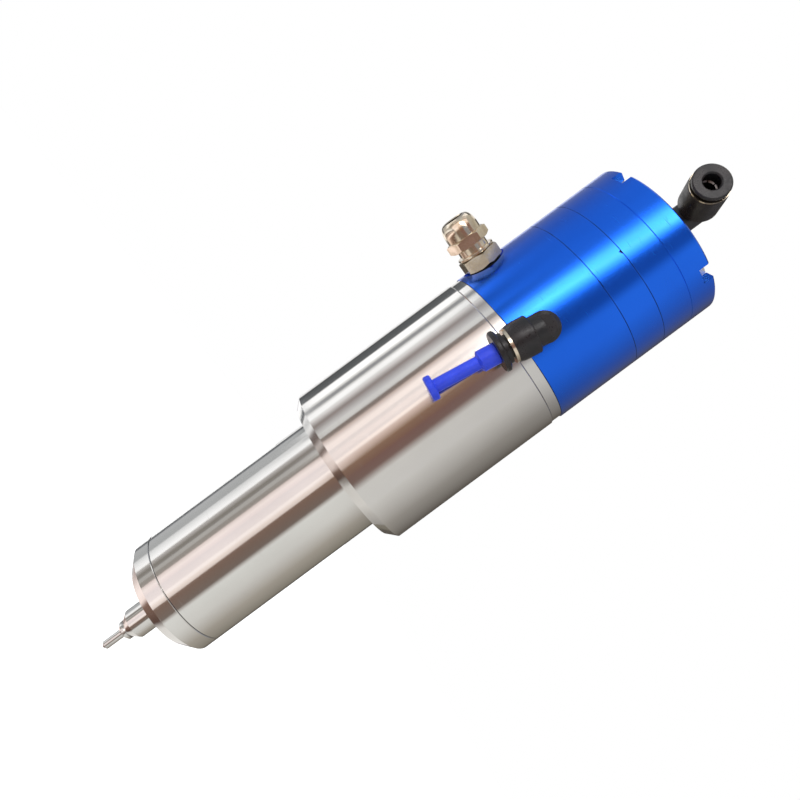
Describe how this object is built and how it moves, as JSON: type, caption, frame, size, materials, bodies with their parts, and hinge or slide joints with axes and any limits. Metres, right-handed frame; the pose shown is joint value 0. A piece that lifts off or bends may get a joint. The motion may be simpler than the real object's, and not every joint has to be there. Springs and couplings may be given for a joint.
{
  "type": "motor spindle",
  "caption": "Motor spindle with a slim steel nose, clamping barrel, blue rear rings, air cylinder, cable gland, push-in elbows and a collet with tool shank.",
  "frame": {"origin": "on the turning axis, at the middle of the clamping barrel", "axes": "+Z along the turning axis towards the rear, away from the tool; -Y towards the side elbow; +X makes a right-handed set"},
  "size_m": [0.0809, 0.079, 0.2768],
  "materials": {
    "ground_steel": "ground and polished",
    "blue_anodised": "blue anodised, glossy",
    "bare_aluminium": "turned",
    "nickel_brass": "nickel plated",
    "black_plastic": "satin moulded",
    "blue_plastic": "moulded",
    "black_rubber": "plain",
    "copper_winding": "enamelled copper wire",
    "core_steel": "stacked sheet",
    "spring_steel": "hardened",
    "bearing_steel": "ground",
    "dark_screw": "blackened"
  },
  "bodies": {
    "spindle": {"motor_barrel": "ground_steel", "front_sleeve": "ground_steel", "front_cap": "ground_steel", "cap_seal": "black_rubber", "bearing_plate": "ground_steel", "bearing_carrier": "ground_steel", "preload_springs": "spring_steel", "connector_housing": "blue_anodised", "guide_ring": "blue_anodised", "rod_seal": "black_rubber", "cylinder_ring": "blue_anodised", "rear_ring": "blue_anodised", "rear_cover": "bare_aluminium", "cover_screws": "dark_screw", "tie_screws": "dark_screw", "stator_core": "core_steel", "windings": "copper_winding", "outer_rings": "bearing_steel", "outer_spacer": "ground_steel", "gland_seal": "black_rubber", "gland_body": "nickel_brass", "gland_insert": "black_rubber", "gland_nut": "nickel_brass", "side_stem": "nickel_brass", "side_seal": "black_rubber", "rear_stem": "nickel_brass", "return_spring": "spring_steel"},
    "rotor": {"shaft": "ground_steel", "slinger": "ground_steel", "inner_rings": "bearing_steel", "inner_spacer": "ground_steel", "rotor_core": "core_steel", "balance_rings": "bare_aluminium", "rotor_nut": "ground_steel", "disc_springs": "spring_steel"},
    "drawbar": {"drawbar": "ground_steel", "drawbar_nut": "ground_steel", "collet": "ground_steel"},
    "tool": {"tool_pin": "ground_steel"},
    "piston": {"piston": "bare_aluminium", "piston_seal": "black_rubber"},
    "side_elbow": {"side_shell": "black_plastic", "side_grip_seal": "black_rubber", "side_teeth": "spring_steel", "side_cartridge": "nickel_brass"},
    "side_collar": {"side_collar": "black_plastic"},
    "side_plug": {"side_plug": "blue_plastic"},
    "rear_elbow": {"rear_shell": "black_plastic", "rear_grip_seal": "black_rubber", "rear_teeth": "spring_steel", "rear_cartridge": "nickel_brass"},
    "rear_collar": {"rear_collar": "black_plastic"}
  },
  "joints": [
    {"name": "shaft_spin", "type": "hinge", "parent": "spindle", "child": "rotor", "pos_m": [0, 0, 0], "axis": [0, 0, 1], "continuous": true},
    {"name": "drawbar_slide", "type": "slide", "parent": "rotor", "child": "drawbar", "axis": [0, 0, -1], "range_m": [0, 0.0025], "stiffness_N_per_m": 2000, "springref_m": -0.002, "deforming": ["disc_springs"]},
    {"name": "tool_pull", "type": "slide", "parent": "drawbar", "child": "tool", "axis": [0, 0, -1], "range_m": [0, 0.015]},
    {"name": "piston_push", "type": "slide", "parent": "spindle", "child": "piston", "axis": [0, 0, -1], "range_m": [0, 0.003], "stiffness_N_per_m": 1500, "springref_m": -0.002, "deforming": ["return_spring"]},
    {"name": "side_elbow_swivel", "type": "hinge", "parent": "spindle", "child": "side_elbow", "pos_m": [0, -0.031, 0.0447], "axis": [0, -1, 0], "continuous": true},
    {"name": "side_collar_press", "type": "slide", "parent": "side_elbow", "child": "side_collar", "axis": [0.1392, 0, 0.9903], "range_m": [0, 0.0007], "stiffness_N_per_m": 400, "springref_m": -0.0005},
    {"name": "side_plug_pull", "type": "slide", "parent": "side_elbow", "child": "side_plug", "axis": [-0.1392, 0, -0.9903], "range_m": [0, 0.0136]},
    {"name": "rear_elbow_swivel", "type": "hinge", "parent": "spindle", "child": "rear_elbow", "pos_m": [0, 0, 0.103], "axis": [0, 0, 1], "continuous": true},
    {"name": "rear_collar_press", "type": "slide", "parent": "rear_elbow", "child": "rear_collar", "axis": [0.2079, 0.9781, 0], "range_m": [0, 0.0007], "stiffness_N_per_m": 400, "springref_m": -0.0005}
  ],
  "couplings": [
    {"joint": "drawbar_slide", "follows": "piston_push", "ratio": 0.8333}
  ]
}
